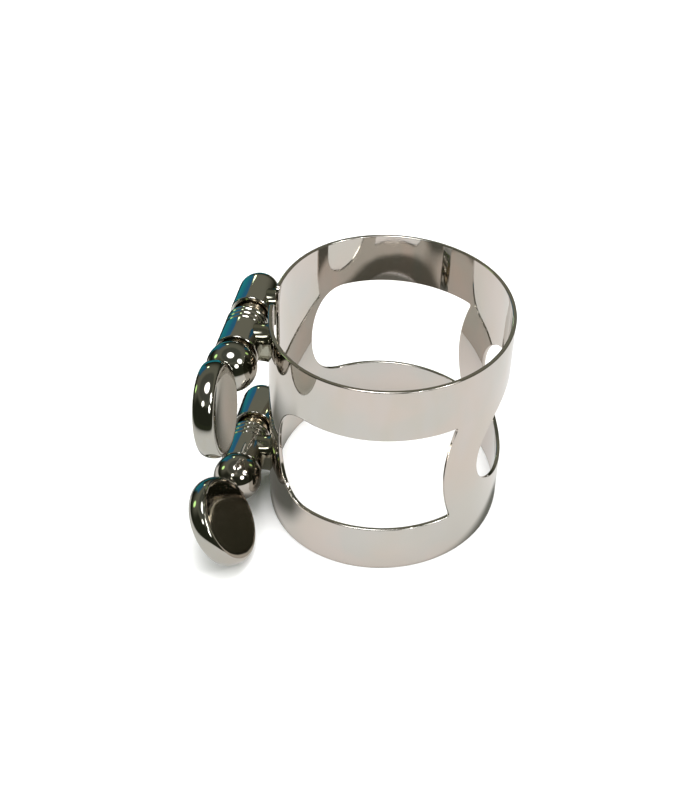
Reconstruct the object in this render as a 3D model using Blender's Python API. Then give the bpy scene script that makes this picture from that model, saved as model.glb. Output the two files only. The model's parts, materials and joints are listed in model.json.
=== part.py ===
"""Saxophone ligature: a springy sheet band closed by two thumbscrews.

Frame: +Z up along the bore, the open ends of the band at -X, the oval window at +X, the two
screws parallel to Y with their heads at -Y. The pieces are laid out about the bore axis with the
bottom rim on z = 0. The whole part is then moved sideways so that the origin lies under the
middle of its bounding box, still on the bottom rim's plane.
Lengths are in millimetres and angles in degrees unless noted. MM turns lengths into metres.
"""
from math import atan2, cos, degrees, floor, pi, radians, sin, sqrt

import bmesh
import bpy
from mathutils import Vector

MM = 0.001
JOIN_GAP = 0.05          # clearance left where two brazed pieces meet
SHARP_ANGLE = 35.0       # edges that turn more than this are shaded sharp

# ---------------------------------------------------------------- band
BAND_R = 14.0            # mean outer radius at the top rim
BAND_TAPER = 1.013       # bottom rim radius over top rim radius
BAND_H = 23.8            # height along the bore
SHEET_T = 0.45           # sheet thickness
OVAL = ((2, -0.070), (3, 0.013), (4, -0.004))   # out-of-round: order, share of the radius
END_ANGLE_TOP = 174.0    # open ends, measured from +X
END_ANGLE_BOTTOM = 172.6
LEAN_FROM = 120.0        # angle from which columns start to lean towards the slanted end
END_CORNER = 0.80        # rounding of the corners at the open ends
END_CORNER_STEPS = 4
SPLIT_GAP = 0.30         # gap between the two halves at the flex line
COLUMN_STEP = 3.6        # angular width of one rolled facet

SIDE_WIN_Z = (5.65, 17.75)   # side windows, lower and upper edge
SIDE_WIN_END = 137.0     # where the rounded end reaches
SIDE_WIN_ROUND = 19.0    # angular depth of the rounded end
SIDE_WIN_POWER = 2.1     # superellipse power of the rounded end
SIDE_WIN_EDGE = 58.6     # where the bowed edge reaches, at mid height
SIDE_WIN_BOW = 4.9       # how far that edge bows into the window
SIDE_WIN_ROWS = 18
OVAL_WIN_Z = (5.75, 17.35)   # oval window opposite the open ends
OVAL_WIN_HALF = 39.8     # its half width
OVAL_WIN_POWER = 2.2
OVAL_WIN_ROWS = 16
OVAL_WIN_OVERRUN = 5.0   # how far its punch runs past the flex line
PUNCH_OVERRUN = 2.0      # how far a punch stands out of either face of the sheet

# ---------------------------------------------------------------- posts
SCREW_X = -15.45         # x of both screw axes
POST_R = 2.35            # outer radius of the posts
PLAIN_LEN = 5.8
PLAIN_BORE_R = 1.75
PLAIN_CHAMFER = 0.15
GROOVE_COUNT = 3         # fine V grooves near the inner end of a plain post
GROOVE_START = 0.35      # from the post's inner end to the first groove
GROOVE_PITCH = 0.75
GROOVE_DEPTH = 0.10
THREADED_LEN = 4.5       # straight length of a threaded post, its dome is added to it
THREADED_BORE_R = 1.95
THREADED_BORE_DEPTH = 5.4
THREADED_CHAMFER = 0.12
DOME_STEPS = 6

# ---------------------------------------------------------------- screws
ROD_R = 1.60             # crest radius of the rod
ROD_START = 0.5          # from the ball's centre to the rod's seat in it
ROD_TIP = 12.6           # from the ball's centre to the rod's tip
ROD_SEG = 20
THREAD_PITCH = 0.80
THREAD_DEPTH = 0.30
THREAD_INSET = 1.4       # how far the thread reaches into the plain post
THREAD_LEAD = 0.4        # plain row of points ahead of the thread
ROWS_PER_PITCH = 5
TIP_BEVEL = (0.30, 0.15)     # length of the tip's bevel, its depth below the thread root
COLLAR_R = 2.65          # ball-shaped collar
COLLAR_FACE = 1.25       # from the ball's centre to the flat that faces the plain post
COLLAR_STEPS = 10
BALL_SEG = 28            # facets around a collar and around a notch
NOTCH_STEPS = 12
DISC_REACH = 7.10        # from the ball's centre to the thumb disc's centre
DISC_R = 4.85
DISC_RIM = 0.50          # radial width of the rounded rim
DISC_HALF_T = 1.05       # half thickness at the edge of each face
DISC_DISH = 0.30         # how deep each face is dished
DISC_STEPS = 4           # steps across a face, and across each half of the rim
DISC_SEG = 40

# ---------------------------------------------------------------- saddles
SADDLE_WIDE = 2.30       # half width on the band at mid length, along Z
SADDLE_TIP = 1.45        # half width on the band at both Y ends
SADDLE_GRIP = 60.0       # how far the seat wraps round the post, to either side
SADDLE_TIP_GRIP = 0.62   # share of that wrap left at both Y ends
SADDLE_Y = (1.80, 5.00)  # reach along Y, on both sides of the gap
SADDLE_STATIONS = 10
SEAT_STEPS, FLANK_STEPS, BASE_STEPS = 8, 4, 8   # the base has as many steps as the seat
FLANK_PULL = (0.22, 0.05)    # bend point of a flank: out from the band, beyond the narrower edge

SEG = 32                 # facets around a post

LEVELS = (
    # name, axis height, y of the facing ends of the plain and the threaded post,
    # y of the ball's centre, turn of the disc about the screw axis
    ("upper", 19.9, -0.35, 1.25, -8.20, 6.0),
    ("lower", 4.4, -0.85, 0.70, -8.00, 33.0),
)

FINISHES = {             # base colour, roughness
    "band": ((0.78, 0.75, 0.70), 0.12),
    "post": ((0.70, 0.69, 0.66), 0.10),
    "saddle": ((0.66, 0.65, 0.61), 0.14),
    "rod": ((0.62, 0.58, 0.50), 0.22),
    "head": ((0.66, 0.65, 0.62), 0.08),
}


# ---------------------------------------------------------------- scene and helpers
def nickel(name, finish):
    """Polished metal in one of the FINISHES."""
    colour, roughness = FINISHES[finish]
    material = bpy.data.materials.new(name)
    material.use_nodes = True
    inputs = material.node_tree.nodes["Principled BSDF"].inputs
    inputs["Base Color"].default_value = (*colour, 1.0)
    inputs["Metallic"].default_value = 1.0
    inputs["Roughness"].default_value = roughness
    return material


def face_outwards(bm):
    bmesh.ops.recalc_face_normals(bm, faces=bm.faces)
    if bm.calc_volume(signed=True) < 0:
        bmesh.ops.reverse_faces(bm, faces=bm.faces)


def shade(mesh):
    mesh.shade_smooth()
    mesh.set_sharp_from_angle(angle=radians(SHARP_ANGLE))


def make_object(name, verts, faces, material=None, smooth=True, location=(0, 0, 0),
                rotation=(0, 0, 0), parent=None):
    """One closed mesh object from points in millimetres; rotation is in radians."""
    mesh = bpy.data.meshes.new(name)
    mesh.from_pydata([(x * MM, y * MM, z * MM) for x, y, z in verts], [], faces)
    mesh.validate()
    bm = bmesh.new()
    bm.from_mesh(mesh)
    bmesh.ops.remove_doubles(bm, verts=bm.verts, dist=1e-8)
    face_outwards(bm)
    bm.to_mesh(mesh)
    bm.free()
    if smooth:
        shade(mesh)
    if material:
        mesh.materials.append(material)
    obj = bpy.data.objects.new(name, mesh)
    bpy.context.scene.collection.objects.link(obj)
    obj.parent = parent
    obj.location = Vector(location) * MM
    obj.rotation_euler = rotation
    return obj


def make_cutter(name, verts, faces, parent=None):
    cutter = make_object(name, verts, faces, smooth=False, parent=parent)
    cutter.hide_render = True
    cutter.display_type = "WIRE"
    return cutter


def cut(target, cutter):
    modifier = target.modifiers.new("cut_" + cutter.name, "BOOLEAN")
    modifier.operation = "DIFFERENCE"
    modifier.solver = "EXACT"
    modifier.object = cutter


def empty_at(name, location, parent=None):
    obj = bpy.data.objects.new(name, None)
    bpy.context.scene.collection.objects.link(obj)
    obj.empty_display_size = 2.0 * MM
    obj.location = Vector(location) * MM
    obj.parent = parent
    return obj


def circle(radius, y, seg):
    """Points of a circle about the Y axis."""
    angles = [2 * pi * k / seg for k in range(seg)]
    return [(radius * cos(a), y, radius * sin(a)) for a in angles]


def bridge(ring_a, ring_b):
    """Faces between two rings of point indices; a ring of one point is a pole on the axis."""
    if len(ring_a) == 1 and len(ring_b) == 1:
        return []
    faces = []
    seg = max(len(ring_a), len(ring_b))
    for k in range(seg):
        following = (k + 1) % seg
        if len(ring_a) == 1:
            faces.append((ring_a[0], ring_b[k], ring_b[following]))
        elif len(ring_b) == 1:
            faces.append((ring_a[k], ring_b[0], ring_a[following]))
        else:
            faces.append((ring_a[k], ring_b[k], ring_b[following], ring_a[following]))
    return faces


def turned(profile, seg=SEG):
    """Solid of revolution about Y from a closed (y, radius) outline; radius 0 is on the axis."""
    verts, rings, faces = [], [], []
    for y, radius in profile:
        points = [(0.0, y, 0.0)] if radius < 1e-9 else circle(radius, y, seg)
        rings.append(list(range(len(verts), len(verts) + len(points))))
        verts += points
    for i, ring in enumerate(rings):
        faces += bridge(ring, rings[(i + 1) % len(rings)])
    return verts, faces


# ---------------------------------------------------------------- shape of the band
def band_radius(theta, z):
    """Outer radius of the rolled sheet at an angle (radians from +X) and a height."""
    base = BAND_R * (BAND_TAPER + (1.0 - BAND_TAPER) * z / BAND_H)
    return base * (1.0 + sum(share * cos(order * theta) for order, share in OVAL))


def band_outer_x(y, z):
    """x of the band's outer face at a y and a height, on the open side."""
    theta = pi - 0.01
    for _ in range(30):
        r = band_radius(theta, z)
        theta = pi - atan2(abs(y), sqrt(max(r * r - y * y, 1e-9)))
    return band_radius(theta, z) * cos(theta)


def roll(angle, depth, z, side):
    """Flat blank to rolled ring. depth runs inwards from the outer face."""
    lean = max(0.0, (angle - LEAN_FROM) / (END_ANGLE_TOP - LEAN_FROM))
    angle -= lean * (END_ANGLE_TOP - END_ANGLE_BOTTOM) * (1.0 - z / BAND_H)
    theta = radians(angle)
    r = band_radius(theta, z) - depth
    return (r * cos(theta), side * r * sin(theta), z)


def off_middle(z, z_range):
    """0 at a window's mid height, 1 at its lower and upper edge."""
    z0, z1 = z_range
    return min(1.0, abs(z - 0.5 * (z0 + z1)) / (0.5 * (z1 - z0)))


def superellipse(w, power):
    return (1.0 - w ** power) ** (1.0 / power)


def window_rows(z_range, count):
    """Heights across a window, closer together towards its lower and upper edge."""
    z0, z1 = z_range
    return [0.5 * (z0 + z1) - 0.5 * (z1 - z0) * cos(pi * i / count) for i in range(count + 1)]


# The outlines below lie in the flat blank, as (angle, height).
def side_window_outline():
    bowed, rounded = [], []
    for z in window_rows(SIDE_WIN_Z, SIDE_WIN_ROWS):
        w = off_middle(z, SIDE_WIN_Z)
        bowed.append((SIDE_WIN_EDGE - SIDE_WIN_BOW * w * w, z))
        reach = SIDE_WIN_ROUND * superellipse(w, SIDE_WIN_POWER)
        rounded.append((SIDE_WIN_END - SIDE_WIN_ROUND + reach, z))
    return bowed + rounded[::-1]


def oval_window_outline():
    """Half of the oval window, run past the flex line."""
    edge = [(OVAL_WIN_HALF * superellipse(off_middle(z, OVAL_WIN_Z), OVAL_WIN_POWER), z)
            for z in window_rows(OVAL_WIN_Z, OVAL_WIN_ROWS)]
    z0, z1 = OVAL_WIN_Z
    return edge + [(-OVAL_WIN_OVERRUN, z1), (-OVAL_WIN_OVERRUN, z0)]


def end_outline():
    """Outline of the open end, rounded at both corners."""
    reach = END_CORNER / BAND_R * 180.0 / pi
    low = []
    for k in range(END_CORNER_STEPS + 1):
        a = 0.5 * pi * k / END_CORNER_STEPS
        low.append((END_ANGLE_TOP - reach * (1.0 - sin(a)), END_CORNER * (1.0 - cos(a))))
    return low + [(angle, BAND_H - z) for angle, z in reversed(low)]


# ---------------------------------------------------------------- band
def flat_blank(name, start, end):
    """Flat strip of sheet, a column of facets per step. x is angle, y is depth, z is height."""
    columns = int(round((end - start) / COLUMN_STEP))
    verts, faces = [], [(0, 1, 2, 3)]
    for i in range(columns):
        a = start + (end - start) * i / columns
        verts += [(a, 0.0, 0.0), (a, 0.0, BAND_H), (a, SHEET_T, BAND_H), (a, SHEET_T, 0.0)]
    for p in range(0, 4 * (columns - 1), 4):
        q = p + 4
        faces += [(p + j, p + (j + 1) % 4, q + (j + 1) % 4, q + j) for j in range(4)]

    # the last column runs to the rounded open end
    last, first = 4 * (columns - 1), len(verts)
    outline = end_outline()
    for a, z in outline:
        verts += [(a, 0.0, z), (a, SHEET_T, z)]
    stop = len(verts)
    outer = [last, *range(first, stop, 2), last + 1]
    inner = [last + 3, *range(first + 1, stop, 2), last + 2]
    faces += [tuple(outer), tuple(reversed(inner))]
    faces += [(outer[k], inner[k], inner[k + 1], outer[k + 1]) for k in range(len(outer) - 1)]
    return make_object(name, verts, faces, smooth=False)


def flat_punch(name, outline):
    verts = [(a, -PUNCH_OVERRUN, z) for a, z in outline]
    verts += [(a, SHEET_T + PUNCH_OVERRUN, z) for a, z in outline]
    n = len(outline)
    faces = [tuple(range(n)), tuple(reversed(range(n, 2 * n)))]
    faces += [(i, n + i, n + (i + 1) % n, (i + 1) % n) for i in range(n)]
    return make_cutter(name, verts, faces)


def band_half(name, side, material, parent):
    """One half of the ring: a blank, punched flat, then rolled. side is the sign of its y."""
    half_gap = degrees(0.5 * SPLIT_GAP / band_radius(0.0, 0.0))
    half = flat_blank(name, half_gap, END_ANGLE_TOP)
    punches = [flat_punch(name + "_punch_side", side_window_outline()),
               flat_punch(name + "_punch_oval", oval_window_outline())]
    for punch in punches:
        cut(half, punch)
    graph = bpy.context.evaluated_depsgraph_get()
    flat = bpy.data.meshes.new_from_object(half.evaluated_get(graph))
    half.modifiers.clear()
    for punch in punches:
        bpy.data.objects.remove(punch, do_unlink=True)

    bm = bmesh.new()
    bm.from_mesh(flat)
    bmesh.ops.remove_doubles(bm, verts=bm.verts, dist=1e-7)
    for v in bm.verts:
        v.co = Vector(roll(v.co.x / MM, v.co.y / MM, v.co.z / MM, side)) * MM
    bmesh.ops.triangulate(bm, faces=bm.faces, quad_method="SHORT_EDGE", ngon_method="BEAUTY")
    face_outwards(bm)
    mesh = bpy.data.meshes.new(name + "_rolled")
    bm.to_mesh(mesh)
    bm.free()
    mesh.materials.append(material)
    shade(mesh)
    half.data = mesh
    half.parent = parent


# ---------------------------------------------------------------- posts
def plain_post(name, z, inner_y, material, parent):
    """Tube, chamfered outside at both ends, with fine V grooves near its inner end."""
    outer_y = inner_y - PLAIN_LEN
    outline = [(inner_y, PLAIN_BORE_R), (inner_y, POST_R - PLAIN_CHAMFER),
               (inner_y - PLAIN_CHAMFER, POST_R)]
    for i in range(GROOVE_COUNT):
        y = inner_y - GROOVE_START - i * GROOVE_PITCH
        outline += [(y, POST_R), (y - 0.25 * GROOVE_PITCH, POST_R - GROOVE_DEPTH),
                    (y - 0.5 * GROOVE_PITCH, POST_R)]
    outline += [(outer_y + PLAIN_CHAMFER, POST_R), (outer_y, POST_R - PLAIN_CHAMFER),
                (outer_y, PLAIN_BORE_R)]
    make_object(name, *turned(outline), material, location=(SCREW_X, 0, z), parent=parent)


def threaded_post(name, z, inner_y, material, parent):
    """Blind barrel with a smooth bore and a domed far end."""
    bore_end = inner_y + THREADED_BORE_DEPTH
    dome_y = inner_y + THREADED_LEN
    outline = [(bore_end, 0.0), (bore_end, THREADED_BORE_R), (inner_y, THREADED_BORE_R),
               (inner_y, POST_R - THREADED_CHAMFER), (inner_y + THREADED_CHAMFER, POST_R),
               (dome_y, POST_R)]
    for i in range(1, DOME_STEPS):
        a = 0.5 * pi * i / DOME_STEPS
        outline.append((dome_y + POST_R * sin(a), POST_R * cos(a)))
    outline.append((dome_y + POST_R, 0.0))
    make_object(name, *turned(outline), material, location=(SCREW_X, 0, z), parent=parent)


# ---------------------------------------------------------------- saddles
def saddle_loop(y, z, swell):
    """Cross-section at a y: seat, +Z flank, base, -Z flank. swell is 0 at the ends, 1 midway."""
    seat_r = POST_R + JOIN_GAP
    wide = SADDLE_TIP + (SADDLE_WIDE - SADDLE_TIP) * swell
    grip = radians(SADDLE_GRIP) * (SADDLE_TIP_GRIP + (1.0 - SADDLE_TIP_GRIP) * swell)

    def base_x(dz):
        return band_outer_x(y, z + dz) - JOIN_GAP

    def flank(sign):
        """Quadratic curve from the seat's edge, itself left out, to the base's edge."""
        x0, z0 = seat_r * cos(grip) + SCREW_X, seat_r * sin(grip)
        x2, z2 = base_x(sign * wide), wide
        x1, z1 = x2 - FLANK_PULL[0], min(z0, z2) + FLANK_PULL[1]
        points = []
        for k in range(1, FLANK_STEPS + 1):
            t = k / FLANK_STEPS
            x = (1 - t) ** 2 * x0 + 2 * t * (1 - t) * x1 + t * t * x2
            dz = (1 - t) ** 2 * z0 + 2 * t * (1 - t) * z1 + t * t * z2
            points.append((x, y, z + sign * dz))
        return points

    seat = []
    for k in range(SEAT_STEPS + 1):
        a = -grip + 2 * grip * k / SEAT_STEPS
        seat.append((SCREW_X + seat_r * cos(a), y, z + seat_r * sin(a)))
    base = []
    for k in range(1, BASE_STEPS):
        dz = wide * (1 - 2 * k / BASE_STEPS)
        base.append((base_x(dz), y, z + dz))
    return seat + flank(1) + base + flank(-1)[::-1]


def saddle_cap(first, n):
    """Faces of one end: strips from seat to base, and a face over each flank."""
    seat = [first + k for k in range(SEAT_STEPS + 1)]
    low = [first + n - 1 - k for k in range(FLANK_STEPS)]       # -Z flank, seat end first
    high = [seat[-1] + 1 + k for k in range(FLANK_STEPS)]       # +Z flank, seat end first
    base = list(range(low[-1], high[-1] - 1, -1))
    faces = [(seat[k], seat[k + 1], base[k + 1], base[k]) for k in range(SEAT_STEPS)]
    return faces + [(seat[0], *low), (seat[-1], *high)]


def saddle(name, z, side, material, parent):
    """Flared foot between a post and the band, fitted to both. side is the sign of its y."""
    verts, faces = [], []
    for i in range(SADDLE_STATIONS + 1):
        s = 0.5 - 0.5 * cos(pi * i / SADDLE_STATIONS)
        y = side * (SADDLE_Y[0] + (SADDLE_Y[1] - SADDLE_Y[0]) * s)
        verts += saddle_loop(y, z, sqrt(1.0 - (2.0 * s - 1.0) ** 2))
    n = len(verts) // (SADDLE_STATIONS + 1)
    for a in range(0, SADDLE_STATIONS * n, n):
        for k in range(n):
            following = (k + 1) % n
            faces.append((a + k, a + following, a + n + following, a + n + k))
    faces += saddle_cap(0, n) + saddle_cap(SADDLE_STATIONS * n, n)
    make_object(name, verts, faces, material, parent=parent)


# ---------------------------------------------------------------- screws
def rod(name, plain_y, ball_y, material, parent):
    """Rod along +Y: plain from the collar, then a helical thread, then a bevelled tip."""
    thread_from = plain_y - THREAD_INSET
    tip = ball_y + ROD_TIP
    thread_len = tip - TIP_BEVEL[0] - thread_from
    steps = int(round(thread_len / (THREAD_PITCH / ROWS_PER_PITCH)))
    rows = [ball_y + ROD_START, thread_from - THREAD_LEAD]
    rows += [thread_from + thread_len * i / steps for i in range(steps + 1)]

    verts = []
    for y in rows:
        # the thread deepens over its first pitch
        fade = min(1.0, max(0.0, (y - thread_from) / THREAD_PITCH))
        for k in range(ROD_SEG):
            phase = y / THREAD_PITCH + k / ROD_SEG
            crest = abs(2.0 * (phase - floor(phase)) - 1.0)
            r = ROD_R - THREAD_DEPTH * fade * (1.0 - crest)
            a = 2 * pi * k / ROD_SEG
            verts.append((r * cos(a), y, r * sin(a)))
    verts += circle(ROD_R - THREAD_DEPTH - TIP_BEVEL[1], tip, ROD_SEG)

    rings = [tuple(range(i, i + ROD_SEG)) for i in range(0, len(verts), ROD_SEG)]
    faces = []
    for ring_a, ring_b in zip(rings[:-1], rings[1:]):
        faces += bridge(ring_a, ring_b)
    faces += [rings[0], rings[-1][::-1]]
    make_object(name, verts, faces, material, parent=parent)


def collar(name, ball_y, material, parent):
    """Ball with a flat facing the plain post and a blind hole for the rod."""
    flat_r = sqrt(COLLAR_R ** 2 - COLLAR_FACE ** 2)
    flat_angle = atan2(flat_r, COLLAR_FACE)
    hole_r = ROD_R + JOIN_GAP
    hole_end = ball_y + ROD_START - JOIN_GAP
    outline = [(hole_end, 0.0), (hole_end, hole_r), (ball_y + COLLAR_FACE, hole_r)]
    for i in range(COLLAR_STEPS):
        a = flat_angle + (pi - flat_angle) * i / COLLAR_STEPS
        outline.append((ball_y + COLLAR_R * cos(a), COLLAR_R * sin(a)))
    outline.append((ball_y - COLLAR_R, 0.0))
    make_object(name, *turned(outline, BALL_SEG), material, parent=parent)


def disc_profile():
    """(height, radius) from the middle of one dished face, round the rim, to the other's."""
    crest = DISC_R - DISC_RIM
    half = []
    for i in range(DISC_STEPS + 1):
        u = i / DISC_STEPS
        half.append((DISC_HALF_T - DISC_DISH * (1.0 - u * u), crest * u))
    for i in range(1, DISC_STEPS):
        a = 0.5 * pi * i / DISC_STEPS
        half.append((DISC_HALF_T * cos(a), crest + DISC_RIM * sin(a)))
    return half + [(0.0, DISC_R)] + [(-height, r) for height, r in reversed(half)]


def thumb_disc(name, ball_y, turn, material, parent):
    """Dished disc whose plane holds the screw axis, notched for the collar."""
    verts, faces = turned(disc_profile(), DISC_SEG)
    # the disc is turned about Y, then laid over so that its own axis is along X
    verts = [(height, ball_y - DISC_REACH + across, z) for across, height, z in verts]
    disc = make_object(name, verts, faces, material, rotation=(0, radians(-turn), 0),
                       parent=parent)
    notch_r = COLLAR_R + JOIN_GAP
    ball = [(ball_y + notch_r, 0.0)]
    for i in range(1, NOTCH_STEPS):
        a = pi * i / NOTCH_STEPS
        ball.append((ball_y + notch_r * cos(a), notch_r * sin(a)))
    ball.append((ball_y - notch_r, 0.0))
    cut(disc, make_cutter(name + "_notch", *turned(ball, BALL_SEG), parent=parent))


# ---------------------------------------------------------------- build
def build_level(level, z, plain_y, threaded_y, ball_y, turn, near, far):
    """One screw with its two posts and saddles; near and far are the frames of the halves."""
    def metal(part, finish):
        return nickel(f"{level}_{part}_nickel", finish)

    plain_post(level + "_plain_post", z, plain_y, metal("plain_post", "post"), near)
    saddle(level + "_plain_saddle", z, -1, metal("plain_saddle", "saddle"), near)
    threaded_post(level + "_threaded_post", z, threaded_y, metal("threaded_post", "post"), far)
    saddle(level + "_threaded_saddle", z, 1, metal("threaded_saddle", "saddle"), far)
    axis = empty_at(level + "_screw_axis", (SCREW_X, 0, z), near)
    rod(level + "_screw_rod", plain_y, ball_y, metal("rod", "rod"), axis)
    collar(level + "_screw_collar", ball_y, metal("collar", "head"), axis)
    thumb_disc(level + "_thumb_disc", ball_y, turn, metal("disc", "head"), axis)


def centre_on_origin(root):
    """Moves the root so that the origin lies under the middle of the visible pieces."""
    graph = bpy.context.evaluated_depsgraph_get()
    points = []
    for obj in bpy.data.objects:
        if obj.type == "MESH" and not obj.hide_render:
            shape = obj.evaluated_get(graph)
            points += [shape.matrix_world @ v.co for v in shape.data.vertices]
    xs = [p.x for p in points]
    ys = [p.y for p in points]
    mid_x = 0.5 * (min(xs) + max(xs))
    mid_y = 0.5 * (min(ys) + max(ys))
    root.location = (-round(mid_x, 6), -round(mid_y, 6), 0.0)


def build():
    for old in list(bpy.data.objects):
        bpy.data.objects.remove(old, do_unlink=True)

    near = empty_at("near_half_frame", (0, 0, 0))
    band_half("band_front_half", -1, nickel("band_nickel", "band"), near)

    # the far (+Y) half hangs from the flex line, so that it can swing about it
    flex_x = band_radius(0.0, 0.5 * BAND_H) - 0.5 * SHEET_T
    flex = empty_at("band_flex_axis", (flex_x, 0, 0), near)
    far = empty_at("far_half_frame", (-flex_x, 0, 0), flex)
    band_half("band_back_half", 1, nickel("band_nickel_far", "band"), far)

    for level in LEVELS:
        build_level(*level, near, far)
    centre_on_origin(near)


build()
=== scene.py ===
import json
from math import atan2, cos, pi, radians, sin, sqrt

import bmesh
import bpy
import numpy as np
from mathutils import Matrix, Vector
from mathutils.geometry import delaunay_2d_cdt


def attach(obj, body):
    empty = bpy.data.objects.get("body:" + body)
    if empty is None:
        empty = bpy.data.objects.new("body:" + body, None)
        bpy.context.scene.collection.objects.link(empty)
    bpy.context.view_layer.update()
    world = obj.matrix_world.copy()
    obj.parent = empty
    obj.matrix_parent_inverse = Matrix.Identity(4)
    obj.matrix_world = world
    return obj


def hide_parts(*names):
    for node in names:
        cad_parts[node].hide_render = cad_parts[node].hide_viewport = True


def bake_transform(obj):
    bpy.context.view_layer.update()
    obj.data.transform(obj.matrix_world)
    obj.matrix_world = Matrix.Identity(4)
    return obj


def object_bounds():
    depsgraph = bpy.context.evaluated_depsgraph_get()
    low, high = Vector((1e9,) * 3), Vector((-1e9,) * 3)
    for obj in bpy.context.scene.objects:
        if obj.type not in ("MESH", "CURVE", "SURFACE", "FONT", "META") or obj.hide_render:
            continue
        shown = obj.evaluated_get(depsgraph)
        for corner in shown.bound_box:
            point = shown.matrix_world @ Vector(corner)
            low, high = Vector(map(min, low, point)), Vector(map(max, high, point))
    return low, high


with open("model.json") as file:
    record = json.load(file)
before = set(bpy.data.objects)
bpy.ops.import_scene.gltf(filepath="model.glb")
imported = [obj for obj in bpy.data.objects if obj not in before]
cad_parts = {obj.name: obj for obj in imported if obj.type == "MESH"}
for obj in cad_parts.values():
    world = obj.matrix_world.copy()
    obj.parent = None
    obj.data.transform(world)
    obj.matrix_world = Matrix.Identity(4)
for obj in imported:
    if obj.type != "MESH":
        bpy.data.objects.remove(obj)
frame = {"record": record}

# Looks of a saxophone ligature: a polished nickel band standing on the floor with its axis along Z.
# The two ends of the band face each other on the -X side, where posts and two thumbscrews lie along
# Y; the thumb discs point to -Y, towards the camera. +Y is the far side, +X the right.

cad_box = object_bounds()
MM = 0.001

# ---------------------------------------------------------------- dimensions, mm and degrees
# Band. Angles round it start at +X and are positive on the far side.
BAND_R, BAND_H, SHEET_T = 14.0, 23.8, 0.45
BAND_TAPER = 1.013                   # radius at the bottom over radius at the top
OVAL = ((2, -0.070), (3, 0.013), (4, -0.004))   # waves round the band, share of the radius
END_TOP, END_BOTTOM = 174.0, 172.6   # angles of the band's ends
END_CORNER = 0.80
LEAN_FROM = 120.0                    # the ends start to lean past this angle
EDGE_R = 0.11                        # rounding of the sheet's edges
EDGE_STEPS = 4
FLAT = BAND_R * pi / 180.0           # length of sheet for each degree

# Side windows: a bowed edge towards +X, a rounded end towards the posts.
SIDE_Z0, SIDE_Z1 = 5.65, 17.75
SIDE_EDGE, SIDE_BOW = 58.6, 4.9
SIDE_END, SIDE_ROUND, SIDE_POWER = 137.0, 19.0, 2.1
SIDE_CORNER = 0.32

# Oval window, centred on +X.
OVAL_Z0, OVAL_Z1, OVAL_HALF, OVAL_POWER = 5.75, 17.35, 39.8, 2.2

# Posts.
POST_R = 2.35
PLAIN_LEN, PLAIN_BORE = 5.8, 1.75
GROOVE_COUNT, GROOVE_PITCH, GROOVE_DEPTH = 3, 0.75, 0.10
GROOVE_START = 0.35                  # from the post's face to the first groove
THREADED_LEN, THREADED_BORE, THREADED_DEPTH = 4.5, 1.95, 5.4

# Feet under the posts.
FOOT_IN, FOOT_OUT = 1.80, 5.00       # span along Y, on either side
FOOT_TOE, FOOT_WIDE = 0.55, 2.30     # half widths at the toes and in the middle
FOOT_GRIP = 60.0                     # half angle of the hollow under the post
FOOT_SINK = 0.10                     # overlap with the post's share and the sheet's
SEAT_R = POST_R - 0.06

# Screws. ROD_START, ROD_TIP and DISC_REACH are measured along Y from the ball's centre.
ROD_R, PITCH, THREAD_DEPTH, ROD_START, ROD_TIP = 1.60, 0.80, 0.30, 0.5, 12.6
ROD_CHAMFER = 0.30
THREAD_LEAD = 1.4                    # thread starts this far before the plain post's face
COLLAR_R, COLLAR_FACE = 2.65, 1.25   # ball radius, distance of its flat from the centre
DISC_REACH, DISC_R, DISC_HALF_T, DISC_DISH = 7.10, 4.85, 1.05, 0.30
DISC_CREST = DISC_R - 0.50
CREST_WIDTH, CREST_SINK = 0.30, 0.018           # softening of the crest
RIM_POWER = 2.05

# faces: Y of the plain and threaded post faces; ball: Y of its centre; turn: disc about the Y axis.
# All Y values are relative to the screw joint.
LEVELS = {"upper": dict(faces=(-0.35, 1.25), ball=-8.20, turn=6.0),
          "lower": dict(faces=(-0.85, 0.70), ball=-8.00, turn=33.0)}

ROUND_SEG, ROD_SEG, DISC_SEG = 112, 72, 144


def band_radius(angle, z):
    """Outer radius of the band; angle in radians, arrays allowed."""
    base = BAND_R * (BAND_TAPER + (1.0 - BAND_TAPER) * z / BAND_H)
    return base * (1.0 + sum(share * np.cos(waves * angle) for waves, share in OVAL))


# Places taken from the CAD's joints.
joints = {joint["name"]: joint for joint in frame["record"]["behaviour"]["joints"]}
flex = [v / MM for v in joints["band_flex"]["pos_m"]]
SCREW = {level: [v / MM for v in joints[level + "_screw_turn"]["pos_m"]] for level in LEVELS}
BORE_X = flex[0] - float(band_radius(0.0, 0.5 * BAND_H)) + 0.5 * SHEET_T
BORE_Y = flex[1]
FLOOR_M = cad_box[0][2]              # metres
MID_HEIGHT_M = 0.012                 # metres


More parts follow.
